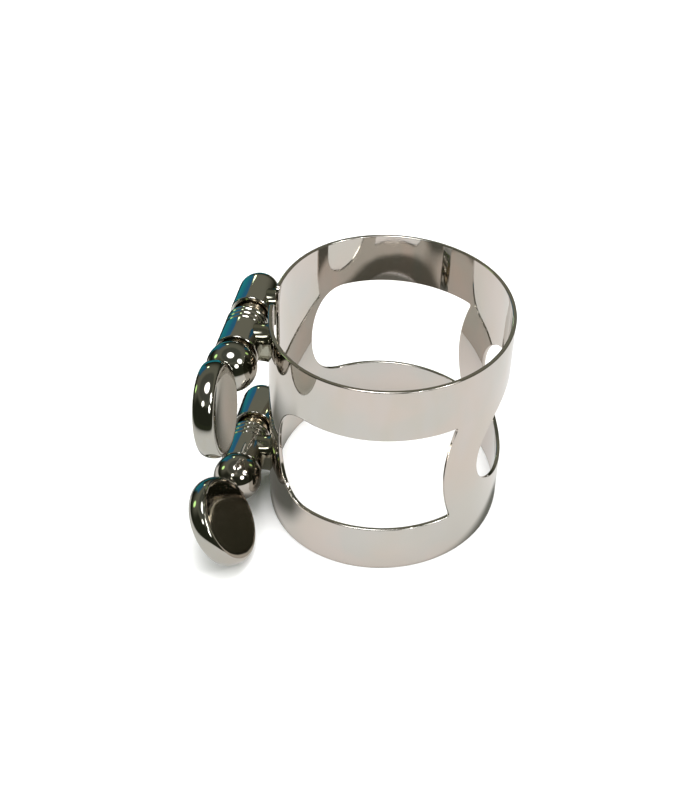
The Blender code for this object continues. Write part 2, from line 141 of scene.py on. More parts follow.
# ---------------------------------------------------------------- node helpers
class Nodes:
    """Empties the node tree of a material or world and writes arithmetic into it as nodes."""

    def __init__(self, owner):
        owner.use_nodes = True
        self.tree = owner.node_tree
        self.tree.nodes.clear()

    def new(self, kind, **props):
        node = self.tree.nodes.new(kind)
        for key, value in props.items():
            setattr(node, key, value)
        return node

    def put(self, socket, value):
        """Links a socket's value, or sets a plain one."""
        if isinstance(value, bpy.types.NodeSocket):
            self.tree.links.new(value, socket)
        elif isinstance(value, tuple) and len(value) == 3 and socket.type == "RGBA":
            socket.default_value = (*value, 1.0)
        else:
            socket.default_value = value

    def math(self, op, first, second, clamp=False):
        node = self.new("ShaderNodeMath", operation=op, use_clamp=clamp)
        self.put(node.inputs[0], first)
        self.put(node.inputs[1], second)
        return node.outputs[0]

    def product(self, total, *factors):
        for factor in factors:
            total = self.math("MULTIPLY", total, factor)
        return total

    def ramp(self, value, over, to=(0.0, 1.0)):
        """Smooth step from to[0] at over[0] to to[1] at over[1]; over may run downwards."""
        node = self.new("ShaderNodeMapRange", interpolation_type="SMOOTHSTEP")
        for i, setting in enumerate((value, *over, *to)):
            self.put(node.inputs[i], setting)
        return node.outputs[0]

    def mix(self, factor, first, second):
        node = self.new("ShaderNodeMix", data_type="RGBA")
        self.put(node.inputs[0], factor)
        self.put(node.inputs[6], first)
        self.put(node.inputs[7], second)
        return node.outputs[2]

    def noise(self, vector, scale, detail, rough, distort=0.0):
        node = self.new("ShaderNodeTexNoise")
        self.put(node.inputs["Vector"], vector)
        node.inputs["Scale"].default_value = scale
        node.inputs["Detail"].default_value = detail
        node.inputs["Roughness"].default_value = rough
        node.inputs["Distortion"].default_value = distort
        return node.outputs["Fac"]

    def stretch(self, vector, scale):
        node = self.new("ShaderNodeMapping")
        self.put(node.inputs["Vector"], vector)
        node.inputs["Scale"].default_value = scale
        return node.outputs[0]

    def separate(self, vector):
        node = self.new("ShaderNodeSeparateXYZ")
        self.put(node.inputs[0], vector)
        return node.outputs

    def length(self, vector):
        node = self.new("ShaderNodeVectorMath", operation="LENGTH")
        self.put(node.inputs[0], vector)
        return node.outputs["Value"]

    def dot(self, vector, direction):
        node = self.new("ShaderNodeVectorMath", operation="DOT_PRODUCT")
        self.put(node.inputs[0], vector)
        node.inputs[1].default_value = direction
        return node.outputs["Value"]

    def bump(self, height, strength, distance, normal=None):
        node = self.new("ShaderNodeBump")
        node.inputs["Strength"].default_value = strength
        node.inputs["Distance"].default_value = distance
        self.put(node.inputs["Height"], height)
        if normal is not None:
            self.put(node.inputs["Normal"], normal)
        return node.outputs[0]


def nickel(name, warm, cool, rough, wave=1.0, grain=(1.0, 1.0, 1.0), soil=0.6):
    """Polished nickel plate: patchy tint, hairlines, smudges, tarnish in the corners.

    wave scales the large relief, grain stretches the hairlines (small is long along that axis),
    soil is the strength of the tarnish.
    """
    material = bpy.data.materials.new(name)
    n = Nodes(material)
    out = n.new("ShaderNodeOutputMaterial")
    plate = n.new("ShaderNodeBsdfPrincipled")
    n.put(out.inputs[0], plate.outputs[0])
    place = n.new("ShaderNodeTexCoord").outputs["Object"]

    # Tint: broad patches between a warmer and a cooler plate.
    patch = n.ramp(n.noise(place, scale=110.0, detail=3.0, rough=0.55, distort=0.3),
                   over=(0.36, 0.64))
    tint = n.mix(patch, warm, cool)

    # Tarnish gathers where pieces meet.
    corners = n.new("ShaderNodeAmbientOcclusion", samples=6)
    corners.inputs["Distance"].default_value = 0.0009
    mottle = n.noise(place, scale=2600.0, detail=2.0, rough=0.6)
    tarnish = n.product(n.ramp(corners.outputs["AO"], over=(0.15, 0.75), to=(1.0, 0.0)),
                        soil,
                        n.ramp(mottle, over=(0.3, 0.6), to=(0.45, 1.0)))
    tarnish_colour = (0.085, 0.068, 0.040)
    n.put(plate.inputs["Base Color"], n.mix(tarnish, tint, tarnish_colour))
    plate.inputs["Metallic"].default_value = 1.0

    # Roughness: the plate's own, then smudges, hairlines and tarnish on top of it.
    smudge = n.ramp(n.noise(place, scale=330.0, detail=4.0, rough=0.62, distort=0.6),
                    over=(0.50, 0.74))
    hair = n.noise(n.stretch(place, grain), scale=9000.0, detail=3.0, rough=0.7)
    hairline = n.ramp(hair, over=(0.60, 0.78))
    smudge_rough, hairline_rough, tarnish_rough = 0.050, 0.045, 0.25
    total = n.math("ADD", rough, n.product(smudge, smudge_rough))
    total = n.math("ADD", total, n.product(hairline, hairline_rough))
    total = n.math("ADD", total, n.product(tarnish, tarnish_rough), clamp=True)
    n.put(plate.inputs["Roughness"], total)

    # Relief: the slight waviness of worked metal, then fine pits and the hairlines.
    waviness = n.noise(place, scale=190.0, detail=1.5, rough=0.4)
    pits = n.ramp(n.noise(place, scale=5200.0, detail=1.0, rough=0.5),
                  over=(0.66, 0.74), to=(1.0, 0.0))
    hair_share = 0.5
    fine = n.math("ADD", pits, n.product(hair, hair_share))
    wavy = n.bump(waviness, strength=1.0, distance=0.000030 * wave)
    n.put(plate.inputs["Normal"],
          n.bump(fine, strength=0.20, distance=0.0000035, normal=wavy))
    return material


# ---------------------------------------------------------------- mesh helpers
def piece(name, verts, faces, material, replaces, body=None, normals=None,
          sharp_angle=None):
    """A mesh from points in millimetres, riding on a body if one is given.

    With normals they are used as they are; without, faces are turned outwards and edges
    steeper than sharp_angle are sharp.
    """
    mesh = bpy.data.meshes.new(name)
    mesh.from_pydata((np.asarray(verts, float) * MM).tolist(), [], faces)
    mesh.validate(clean_customdata=False)
    if normals is None:
        bm = bmesh.new()
        bm.from_mesh(mesh)
        bmesh.ops.recalc_face_normals(bm, faces=bm.faces)
        if bm.calc_volume(signed=True) < 0:
            bmesh.ops.reverse_faces(bm, faces=bm.faces)
        bm.to_mesh(mesh)
        bm.free()
        mesh.shade_smooth()
        mesh.set_sharp_from_angle(angle=radians(sharp_angle))
    else:
        mesh.shade_smooth()
        mesh.normals_split_custom_set_from_vertices(normals.tolist())
    mesh.materials.append(material)
    obj = bpy.data.objects.new(name, mesh)
    bpy.context.scene.collection.objects.link(obj)
    if body:
        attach(obj, body)
    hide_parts(*replaces)
    return obj


def bend(start, pull, end, t):
    """Point at t on the quadratic curve from start to end, pulled towards a third point."""
    return (1 - t) ** 2 * start + 2 * t * (1 - t) * pull + t * t * end


def rounded_path(points, steps=5):
    """Polyline of (y, r, corner radius) with its inner corners rounded; gives (y, r) pairs."""
    out = []
    for i, (y, r, corner) in enumerate(points):
        if corner <= 0 or i in (0, len(points) - 1):
            out.append((y, r))
            continue
        before = np.array(points[i - 1][:2], float)
        here = np.array((y, r), float)
        after = np.array(points[i + 1][:2], float)
        len_before, len_after = np.linalg.norm(before - here), np.linalg.norm(after - here)
        corner = min(corner, 0.49 * len_before, 0.49 * len_after)
        start = here + (before - here) / len_before * corner
        end = here + (after - here) / len_after * corner
        for k in range(steps + 1):
            point = bend(start, here, end, k / steps)
            out.append((float(point[0]), float(point[1])))
    return out


def stitch(rings):
    """Faces between neighbouring rings of vertex numbers; a ring of one vertex is a pole."""
    faces = []
    for first, second in zip(rings[:-1], rings[1:]):
        count = max(len(first), len(second))
        if count == 1:
            continue
        for k in range(count):
            k2 = (k + 1) % count
            if len(first) == 1:
                faces.append((first[0], second[k], second[k2]))
            elif len(second) == 1:
                faces.append((first[k], second[0], first[k2]))
            else:
                faces.append((first[k], second[k], second[k2], first[k2]))
    return faces


def spin(profile, segments, centre, axis=(0, 1, 0), start=(1, 0, 0), quarter=(0, 0, 1)):
    """Closed solid of revolution of (distance along the axis, radius) pairs.

    start and quarter are the directions of the first vertex and of the one a quarter turn on.
    """
    centre, axis, start, quarter = (np.array(v, float) for v in (centre, axis, start, quarter))
    full_turn = 2 * pi * np.arange(segments) / segments
    points, rings, count = [], [], 0
    for along, radius in profile:
        angles = full_turn[:1] if radius < 1e-6 else full_turn
        points.append(centre + along * axis + (radius * np.cos(angles))[:, None] * start
                      + (radius * np.sin(angles))[:, None] * quarter)
        rings.append(list(range(count, count + len(angles))))
        count += len(angles)
    return np.concatenate(points), stitch(rings + rings[:1])


# ---------------------------------------------------------------- flat outlines of the band
# Loops are drawn on the unrolled sheet as (length from +X, height).
def turn_cosine(points, i):
    """Cosine of the change of direction at point i of a closed loop."""
    arrive = points[i] - points[i - 1]
    leave = points[(i + 1) % len(points)] - points[i]
    return np.dot(arrive, leave) / max(1e-12, np.linalg.norm(arrive) * np.linalg.norm(leave))


def resample(loop, step):
    """Closed loop resampled evenly, keeping its first point and its sharp corners."""
    points = np.array(loop, float)
    count = len(points)
    keep = [0] + [i for i in range(1, count) if turn_cosine(points, i) < 0.86]
    out = []
    for j, first in enumerate(keep):
        last = keep[(j + 1) % len(keep)]
        if last > first:
            ids = list(range(first, last + 1))
        else:
            ids = list(range(first, count)) + list(range(last + 1))
        run = points[ids]
        travel = np.r_[0, np.cumsum(np.linalg.norm(np.diff(run, axis=0), axis=1))]
        parts = max(1, int(round(travel[-1] / step)))
        at = np.linspace(0, travel[-1], parts + 1)[:-1]
        out.append(np.stack([np.interp(at, travel, run[:, 0]),
                             np.interp(at, travel, run[:, 1])], axis=-1))
    return np.concatenate(out)


def walk(points, i, step, distance):
    """Point at a distance along a closed loop from point i; step is 1 or -1."""
    here = points[i]
    while True:
        i += step
        ahead = points[i % len(points)]
        gap = np.linalg.norm(ahead - here)
        if gap >= distance:
            return here + (ahead - here) * distance / gap
        distance -= gap
        here = ahead


def soften(loop, radius):
    """Rounds the sharp corners of a closed loop."""
    points = [np.array(point, float) for point in loop]
    corners = [i for i in range(len(points)) if turn_cosine(points, i) <= 0.80]
    out = []
    for i, here in enumerate(points):
        if i in corners:
            start, end = walk(points, i, -1, radius), walk(points, i, 1, radius)
            out += [bend(start, here, end, k / 6) for k in range(7)]
        elif all(np.linalg.norm(here - points[k]) > radius for k in corners):
            out.append(here)
    return out


def outer_loop():
    """Rectangle of the whole sheet with rounded corners."""
    x, r = END_TOP * FLAT - END_CORNER, END_CORNER
    top = BAND_H - r
    loop = []
    for corner_x, corner_z, first in ((x, r, -90), (x, top, 0), (-x, top, 90), (-x, r, 180)):
        for k in range(13):
            angle = radians(first + 7.5 * k)
            loop.append((corner_x + r * cos(angle), corner_z + r * sin(angle)))
    return resample(loop, step=0.22)


def side_loop(side):
    """Side window; side is 1 for the far one, -1 for the near one."""
    middle, half = 0.5 * (SIDE_Z0 + SIDE_Z1), 0.5 * (SIDE_Z1 - SIDE_Z0)
    edge, end = [], []
    for i in range(91):
        z = middle - half * cos(pi * i / 90)
        off = min(1.0, abs(z - middle) / half)
        edge.append((SIDE_EDGE - SIDE_BOW * off * off, z))
        bulge = SIDE_ROUND * (1.0 - off ** SIDE_POWER) ** (1.0 / SIDE_POWER)
        end.append((SIDE_END - SIDE_ROUND + bulge, z))
    loop = [(side * angle * FLAT, z) for angle, z in edge + end[::-1]]
    return resample(soften(loop, SIDE_CORNER), step=0.18)


def oval_loop():
    """Superellipse of the window on the +X side."""
    middle, half = 0.5 * (OVAL_Z0 + OVAL_Z1), 0.5 * (OVAL_Z1 - OVAL_Z0)
    loop = []
    for i in range(240):
        c, s = cos(2 * pi * i / 240), sin(2 * pi * i / 240)
        loop.append((OVAL_HALF * FLAT * np.sign(c) * abs(c) ** (2 / OVAL_POWER),
                     middle + half * np.sign(s) * abs(s) ** (2 / OVAL_POWER)))
    return resample(loop, step=0.20)


# ---------------------------------------------------------------- the band, one continuous sheet
def unit(vectors):
    return vectors / np.linalg.norm(vectors, axis=1)[:, None]


def band_point(degrees, depth, z):
    """Points of the rolled sheet: signed angles, depth inwards from the outer face, height."""
    side = np.where(degrees < 0, -1.0, 1.0)
    angle = np.abs(degrees)
    lean = np.maximum(0.0, (angle - LEAN_FROM) / (END_TOP - LEAN_FROM))
    angle = np.radians(angle - lean * (END_TOP - END_BOTTOM) * (1.0 - z / BAND_H))
    r = band_radius(angle, z) - depth
    return np.stack([BORE_X + r * np.cos(angle), BORE_Y + side * r * np.sin(angle),
                     FLOOR_M / MM + z], axis=-1)


def roll(flat, depth):
    """Rolls flat points into the band at a depth."""
    return band_point(flat[:, 0] / FLAT, depth, flat[:, 1])


def sheet_axes(flat):
    """Outward, along-sheet and upward unit vectors at flat points."""
    degrees, z = flat[:, 0] / FLAT, flat[:, 1]
    step = 0.01
    along = unit(band_point(degrees + step, 0.0, z) - band_point(degrees - step, 0.0, z))
    upward = unit(band_point(degrees, 0.0, z + step) - band_point(degrees, 0.0, z - step))
    return unit(np.cross(along, upward)), along, upward


def rim_of(loop, is_outline):
    """Loop with the metal on its left, its normals out of the metal, and its inset copy."""
    x, z = loop[:, 0], loop[:, 1]
    area = 0.5 * np.sum(x * np.roll(z, -1) - np.roll(x, -1) * z)
    if (area > 0) != is_outline:
        loop = loop[::-1].copy()
    arrive = unit(loop - np.roll(loop, 1, axis=0))
    leave = unit(np.roll(loop, -1, axis=0) - loop)
    arrive_normal = np.stack([arrive[:, 1], -arrive[:, 0]], -1)
    leave_normal = np.stack([leave[:, 1], -leave[:, 0]], -1)
    normal = unit(arrive_normal + leave_normal)
    grow = 1.0 / np.maximum(0.6, np.sum(normal * leave_normal, axis=1))   # mitre, limited
    return loop, normal, loop - normal * (EDGE_R * grow)[:, None]


def inside(points, loop):
    """Which points lie inside a closed loop, by counting crossings."""
    x, z = points[:, 0], points[:, 1]
    hit = np.zeros(len(points), bool)
    for (x0, z0), (x1, z1) in zip(loop, np.roll(loop, -1, axis=0)):
        if z0 != z1:
            hit ^= ((z0 > z) != (z1 > z)) & (x < (x1 - x0) * (z - z0) / (z1 - z0) + x0)
    return hit


def on_metal(points, insets):
    """Which points lie inside the outline and outside every window."""
    ok = inside(points, insets[0])
    for window in insets[1:]:
        ok &= ~inside(points, window)
    return ok


def triangulate(insets):
    """Triangles over the metal; gives points, triangles and the point each inset point became."""
    edges, base = [], 0
    for inset in insets:
        count = len(inset)
        edges += [(base + i, base + (i + 1) % count) for i in range(count)]
        base += count
    # An even grid fills the sheet, clear of the edges.
    half_length, end_gap, row_gap, clearance = END_TOP * FLAT, 0.5, 0.55, 0.30
    columns = np.linspace(-half_length + end_gap, half_length - end_gap, 236)
    rows = np.linspace(row_gap, BAND_H - row_gap, 24)
    grid = np.array([(x, z) for x in columns for z in rows])
    near = np.zeros(len(grid), bool)
    for inset in insets:
        gap = np.hypot(grid[:, 0, None] - inset[None, :, 0], grid[:, 1, None] - inset[None, :, 1])
        near |= (gap < clearance).any(axis=1)
    grid = grid[~near & on_metal(grid, insets)]
    points = [Vector(point) for point in np.concatenate(insets + [grid])]
    result = delaunay_2d_cdt(points, edges, [], 0, 1e-6)
    flat = np.array([(point.x, point.y) for point in result[0]])
    triangles = np.array([face for face in result[2] if len(face) == 3], int)
    triangles = triangles[on_metal(flat[triangles].mean(axis=1), insets)]
    first, second, third = (flat[triangles[:, i]] for i in range(3))
    clockwise = ~(np.cross(second - first, third - first) > 0)
    triangles[clockwise] = triangles[clockwise][:, ::-1]
    became = {old: new for new, olds in enumerate(result[3]) for old in olds}
    return flat, triangles.tolist(), became


def make_band(material):
    loops = [outer_loop(), side_loop(1), side_loop(-1), oval_loop()]
    rims = [rim_of(loop, is_outline=(i == 0)) for i, loop in enumerate(loops)]
    flat, triangles, became = triangulate([inset for _, _, inset in rims])

    # Outer face, then inner face.
    count = len(flat)
    outward = sheet_axes(flat)[0]
    verts = [roll(flat, 0.0), roll(flat, SHEET_T)]
    normals = [outward, -outward]
    faces = [tuple(t) for t in triangles]
    faces += [(count + t[0], count + t[2], count + t[1]) for t in triangles]

    # Rounded edges: rows of points from the outer face (side 1) over to the inner one (side -1).
    row_steps = [(1, j) for j in range(1, EDGE_STEPS + 1)]
    row_steps += [(-1, j) for j in range(EDGE_STEPS, 0, -1)]
    total, start = 2 * count, 0
    for loop, normal, inset in rims:
        size = len(loop)
        outer_ids = [became[start + i] for i in range(size)]
        rows = [outer_ids]
        outward, along, upward = sheet_axes(loop)
        edgeward = normal[:, 0, None] * along + normal[:, 1, None] * upward
        for side, j in row_steps:
            angle = 0.5 * pi * j / EDGE_STEPS
            sink = EDGE_R * (1 - cos(angle))
            depth = sink if side > 0 else SHEET_T - sink
            verts.append(roll(loop + (inset - loop) * (1 - sin(angle)), depth))
            normals.append(side * cos(angle) * outward + sin(angle) * edgeward)
            rows.append(list(range(total, total + size)))
            total += size
        rows.append([count + i for i in outer_ids])
        for row, below in zip(rows[:-1], rows[1:]):
            for i in range(size):
                i2 = (i + 1) % size
                faces.append((row[i2], row[i], below[i], below[i2]))
        start += size

    obj = piece("band_sheet", np.concatenate(verts), faces, material,
                replaces=("band_front_half", "band_back_half"), normals=np.concatenate(normals))
    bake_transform(obj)


# ---------------------------------------------------------------- posts and feet
def make_plain_post(level, material):
    """Tube on the near side with V grooves near its inner face."""
    face = LEVELS[level]["faces"][0]
    end = face - PLAIN_LEN
    middle = (0.5 * (face + end), PLAIN_BORE, 0)
    points = [middle, (face, PLAIN_BORE, 0.10), (face, POST_R, 0.16)]
    y = face - GROOVE_START
    for _ in range(GROOVE_COUNT):
        points += [(y, POST_R, 0.07),
                   (y - 0.20 * GROOVE_PITCH, POST_R - GROOVE_DEPTH, 0.06),
                   (y - 0.40 * GROOVE_PITCH, POST_R, 0.07)]
        y -= GROOVE_PITCH
    points += [(end, POST_R, 0.18), (end, PLAIN_BORE, 0.10), middle]
    verts, faces = spin(rounded_path(points)[:-1], ROUND_SEG, SCREW[level])
    piece(level + "_plain_post_turned", verts, faces, material,
          replaces=(level + "_plain_post",), body="near_half", sharp_angle=60)


def make_threaded_post(level, material):
    """Post on the far side: blind bore from its inner face, domed far end."""
    face = LEVELS[level]["faces"][1]
    dome = face + THREADED_LEN
    bottom = face + THREADED_DEPTH
    profile = rounded_path([(bottom, 0.0, 0), (bottom, THREADED_BORE, 0.08),
                            (face, THREADED_BORE, 0.10), (face, POST_R, 0.14),
                            (dome, POST_R, 0.0)])
    for i in range(1, 26):
        angle = 0.5 * pi * i / 26
        profile.append((dome + POST_R * sin(angle), POST_R * cos(angle)))
    profile.append((dome + POST_R, 0.0))
    verts, faces = spin(profile, ROUND_SEG, SCREW[level])
    piece(level + "_threaded_post_turned", verts, faces, material,
          replaces=(level + "_threaded_post",), body="far_half", sharp_angle=60)


def band_outer_x(y, z):
    """X of the band's outer face on its -X side, from the bore's axis."""
    angle = pi - 0.01
    for _ in range(30):
        r = float(band_radius(angle, z))
        angle = pi - atan2(abs(y), sqrt(max(r * r - y * y, 1e-9)))
    return float(band_radius(angle, z)) * cos(angle)


def foot_section(centre, y, full):
    """Closed section of a foot at y; full is 0 at the toes and 1 in the middle."""
    screw_x, screw_y, screw_z = centre
    arc_steps, flank_steps, base_steps = 16, 12, 16
    wide = FOOT_TOE + (FOOT_WIDE - FOOT_TOE) * full
    grip = radians(FOOT_GRIP) * (0.25 + 0.75 * full)

    def base_point(rise):
        x = BORE_X + band_outer_x(y, screw_z + rise) + FOOT_SINK
        return x, screw_y + y, screw_z + rise

    section = []
    for k in range(arc_steps + 1):
        angle = -grip + 2 * grip * k / arc_steps
        section.append((screw_x + SEAT_R * cos(angle), screw_y + y,
                        screw_z + SEAT_R * sin(angle)))
    seat_x, seat_rise = section[-1][0], SEAT_R * sin(grip)

    def flank(side):
        """Flared side from the seat to the band; side is 1 above, -1 below."""
        base_x = base_point(side * wide)[0]
        pull_x, pull_rise = base_x - 0.30, min(seat_rise, wide) + 0.02
        return [(bend(seat_x, pull_x, base_x, k / flank_steps), screw_y + y,
                 screw_z + side * bend(seat_rise, pull_rise, wide, k / flank_steps))
                for k in range(1, flank_steps + 1)]

    base = [base_point(wide * (1 - 2 * k / base_steps)) for k in range(1, base_steps)]
    return section + flank(1) + base + flank(-1)[::-1]


def make_foot(level, side, material):
    """Foot hollowed for the post and flared on to the band; side is -1 near, 1 far."""
    stations = 36
    rings = []
    for i in range(stations + 1):
        s = 0.5 - 0.5 * cos(pi * i / stations)
        full = (1.0 - abs(2.0 * s - 1.0) ** 2.0) ** 0.55
        rings.append(foot_section(SCREW[level], side * (FOOT_IN + (FOOT_OUT - FOOT_IN) * s), full))
    size = len(rings[0])
    verts = [point for ring in rings for point in ring]
    faces = []
    for i in range(stations):
        near, far = i * size, (i + 1) * size
        for k in range(size):
            k2 = (k + 1) % size
            faces.append((near + k, near + k2, far + k2, far + k))
    for i in (0, stations):
        middle = len(verts)
        verts.append(tuple(np.mean(np.array(rings[i]), axis=0)))
        faces += [(i * size + k, i * size + (k + 1) % size, middle) for k in range(size)]
    kind, body = ("plain", "near_half") if side < 0 else ("threaded", "far_half")
    piece("%s_%s_foot" % (level, kind), verts, faces, material,
          replaces=("%s_%s_saddle" % (level, kind),), body=body, sharp_angle=50)


# ---------------------------------------------------------------- screws
def make_rod(level, material):
    """Rod with a helical thread that fades in, chamfered at the far tip."""
    screw_x, screw_y, screw_z = SCREW[level]
    ball = LEVELS[level]["ball"]
    start, end = ball + ROD_START, ball + ROD_TIP
    thread_from = LEVELS[level]["faces"][0] - THREAD_LEAD
    rows_per_turn = 16
    stations = [start, thread_from - 0.35]
    stations += list(np.arange(thread_from - 0.3, end - ROD_CHAMFER, PITCH / rows_per_turn))
    stations += [end - ROD_CHAMFER, end - 0.5 * ROD_CHAMFER, end]
    turns = np.arange(ROD_SEG) / ROD_SEG
    angles = 2 * pi * np.arange(ROD_SEG) / ROD_SEG
    rows = []
    for y in stations:
        phase = y / PITCH + turns
        crest = np.abs(2.0 * (phase - np.floor(phase)) - 1.0)      # 1 on the crest
        cut = THREAD_DEPTH * np.clip((1.0 - crest) * 1.25 - 0.10, 0.0, 1.0)
        fade = min(1.0, max(0.0, (y - thread_from) / PITCH))
        r = ROD_R - cut * fade
        if y > end - (ROD_CHAMFER + 0.01):
            taper = THREAD_DEPTH * (y - (end - ROD_CHAMFER)) / ROD_CHAMFER
            r = np.minimum(r, ROD_R - taper - 0.02)
        rows.append(np.stack([screw_x + r * np.cos(angles), np.full(ROD_SEG, screw_y + y),
                              screw_z + r * np.sin(angles)], -1))
    rings = [list(range(i * ROD_SEG, (i + 1) * ROD_SEG)) for i in range(len(rows))]
    faces = stitch(rings) + [tuple(rings[0]), tuple(reversed(rings[-1]))]
    piece(level + "_rod_threaded", np.concatenate(rows), faces, material,
          replaces=(level + "_screw_rod",), body=level + "_screw", sharp_angle=45)


def make_ball(level, material):
    """Ball collar with a flat towards the post and a short neck inside it."""
    centre = LEVELS[level]["ball"]
    neck_end, neck_r = centre + ROD_START - 0.05, ROD_R + 0.02
    flat = centre + COLLAR_FACE
    cut = atan2(sqrt(COLLAR_R ** 2 - COLLAR_FACE ** 2), COLLAR_FACE)
    arc = []
    for i in range(60):
        angle = cut + (pi - cut) * i / 60
        arc.append((centre + COLLAR_R * cos(angle), COLLAR_R * sin(angle)))
    # The fillet on the flat's edge takes the place of the arc's first points.
    points = [(neck_end, 0.0, 0), (neck_end, neck_r, 0.02), (flat, neck_r, 0.05),
              (flat, COLLAR_R * sin(cut), 0.12), (*arc[4], 0)]
    profile = rounded_path(points, steps=6) + arc[5:] + [(centre - COLLAR_R, 0.0)]
    verts, faces = spin(profile, ROUND_SEG, SCREW[level])
    piece(level + "_ball_collar", verts, faces, material,
          replaces=(level + "_screw_collar",), body=level + "_screw", sharp_angle=50)


def disc_half(radius):
    """Half thickness of a disc: a shallow dish up to a crest, then a rounded edge."""
    if radius <= DISC_CREST:
        half = DISC_HALF_T - DISC_DISH * (1.0 - (radius / DISC_CREST) ** 2)
        near = max(0.0, 1.0 - (DISC_CREST - radius) / CREST_WIDTH)
        return half - CREST_SINK * near * near
    out = (radius - DISC_CREST) / (DISC_R - DISC_CREST)
    edge = DISC_HALF_T * max(0.0, 1 - out ** RIM_POWER) ** (1 / RIM_POWER)
    return edge - CREST_SINK * (1.0 - out) ** 2


def make_disc(level, material):
    """Thumb disc, its own axis square to the screw's."""
    screw_x, screw_y, screw_z = SCREW[level]
    disc_y = LEVELS[level]["ball"] - DISC_REACH
    radii = [DISC_CREST * i / 40 for i in range(41)]
    radii += [DISC_CREST + (DISC_R - DISC_CREST) * sin(0.5 * pi * i / 20) for i in range(1, 20)]
    half = [(disc_half(r), r) for r in radii]
    outline = half + [(0.0, DISC_R)] + [(-h, r) for h, r in reversed(half)]
    turn = radians(LEVELS[level]["turn"])
    verts, faces = spin(outline, DISC_SEG, (screw_x, screw_y + disc_y, screw_z),
                        axis=(cos(turn), 0, sin(turn)), start=(0, 1, 0),
                        quarter=(-sin(turn), 0, cos(turn)))
    piece(level + "_disc_coined", verts, faces, material,
          replaces=(level + "_thumb_disc",), body=level + "_screw", sharp_angle=60)


# ---------------------------------------------------------------- materials and build
band_nickel = nickel("band_nickel_plate", warm=(0.635, 0.575, 0.525), cool=(0.590, 0.572, 0.530),
                     rough=0.035, grain=(0.05, 0.05, 1.0))
post_nickel = nickel("post_nickel_plate", warm=(0.60, 0.57, 0.52), cool=(0.55, 0.56, 0.53),
                     rough=0.040, wave=0.5, grain=(1.0, 0.06, 1.0))
foot_nickel = nickel("foot_nickel_plate", warm=(0.40, 0.38, 0.30), cool=(0.36, 0.37, 0.31),
                     rough=0.070, wave=1.6, soil=0.8)
# Balls and discs: plate darker than the band's, partly a darker plate and partly painted shade of
# the shaded floor they reflect.
screw_nickel = nickel("screw_nickel_plate", warm=(0.50, 0.465, 0.415), cool=(0.47, 0.465, 0.42),
                      rough=0.030, wave=0.6, grain=(1.0, 0.3, 0.3))
thread_nickel = nickel("thread_nickel_worn", warm=(0.50, 0.40, 0.27), cool=(0.52, 0.45, 0.34),
                       rough=0.14, wave=0.3, grain=(1.0, 0.1, 1.0), soil=0.9)

make_band(band_nickel)
for level_name in ("upper", "lower"):
    make_plain_post(level_name, post_nickel)
    make_threaded_post(level_name, post_nickel)
    make_foot(level_name, -1, foot_nickel)
    make_foot(level_name, 1, foot_nickel)
    make_rod(level_name, thread_nickel)
    make_ball(level_name, screw_nickel)
    make_disc(level_name, screw_nickel)


# ---------------------------------------------------------------- floor
def floor_reflection(n, place):
    """Colour the mirrors see in the floor, with painted shade and painted reflections of the room;
    distances in metres from the bore's axis.
    """
    x, y, _ = n.separate(place)
    distance = n.length(place)
    ahead = n.dot(place, (-0.62, 0.78, 0.0))
    incoming = n.new("ShaderNodeNewGeometry").outputs["Incoming"]
    from_x, from_y, from_z = n.separate(incoming)

    # Painted dark reflection: a dark patch to the left and far side, seen only by rays in a narrow
    # range of directions.
    behind = n.product(n.ramp(x, over=(-0.0175, -0.0215)),
                       n.ramp(y, over=(0.000, 0.008)),
                       n.ramp(from_y, over=(-0.50, -0.64)),
                       n.ramp(from_z, over=(0.56, 0.48)))
    # Painted teal reflection further out in it.
    teal = n.product(behind,
                     n.ramp(ahead, over=(0.040, 0.055)),
                     n.product(n.ramp(from_z, over=(0.31, 0.25)),
                               n.ramp(from_x, over=(0.72, 0.64))))
    # Shade under the screws, and in a ring on the near side of the band.
    under = n.product(n.ramp(x, over=(-0.0100, -0.0135)),
                      n.product(n.ramp(y, over=(-0.0150, -0.0110)),
                                n.ramp(x, over=(-0.034, -0.024))),
                      n.ramp(y, over=(0.0090, 0.0040)))
    ring_strength, shade_strength = 1.0, 0.85
    ring = n.product(n.ramp(distance, over=(0.0085, 0.0105)),
                     n.ramp(distance, over=(0.0150, 0.0138)),
                     n.product(n.ramp(y, over=(0.003, -0.001)), ring_strength))
    shade = n.product(n.math("MAXIMUM", under, ring), shade_strength)
    # Painted dark reflection: from 5 to 13.5 cm out, mirrors see the floor fade to dark, as if the
    # paper ended a few centimetres away.
    far = n.ramp(distance, over=(0.050, 0.135))
    speck = n.ramp(n.noise(place, scale=60.0, detail=2.0, rough=0.5), over=(0.35, 0.65))

    seen = n.mix(speck, (0.78, 0.775, 0.775), (0.77, 0.755, 0.73))
    for factor, colour in ((shade, (0.060, 0.064, 0.045)),
                           (far, (0.030, 0.034, 0.020)),
                           (behind, (0.016, 0.020, 0.020)),
                           (teal, (0.018, 0.20, 0.25))):
        seen = n.mix(factor, seen, colour)
    return seen


def floor_material():
    """Pale paper; in reflections it partly glows with its own picture of the surroundings."""
    material = bpy.data.materials.new("pale_paper")
    n = Nodes(material)
    out = n.new("ShaderNodeOutputMaterial")
    place = n.new("ShaderNodeTexCoord").outputs["Object"]
    glossy = n.new("ShaderNodeLightPath").outputs["Is Glossy Ray"]
    seen = floor_reflection(n, place)
    paper_colour, glow_share = (0.92, 0.92, 0.92), 0.72
    paper = n.new("ShaderNodeBsdfDiffuse")
    n.put(paper.inputs["Color"], n.mix(glossy, paper_colour, seen))
    glow = n.new("ShaderNodeEmission")
    n.put(glow.inputs["Color"], seen)
    glow.inputs["Strength"].default_value = 1.0
    surface = n.new("ShaderNodeMixShader")
    n.put(surface.inputs[0], n.product(glossy, glow_share))
    n.put(surface.inputs[1], paper.outputs[0])
    n.put(surface.inputs[2], glow.outputs[0])
    n.put(out.inputs[0], surface.outputs[0])
    return material


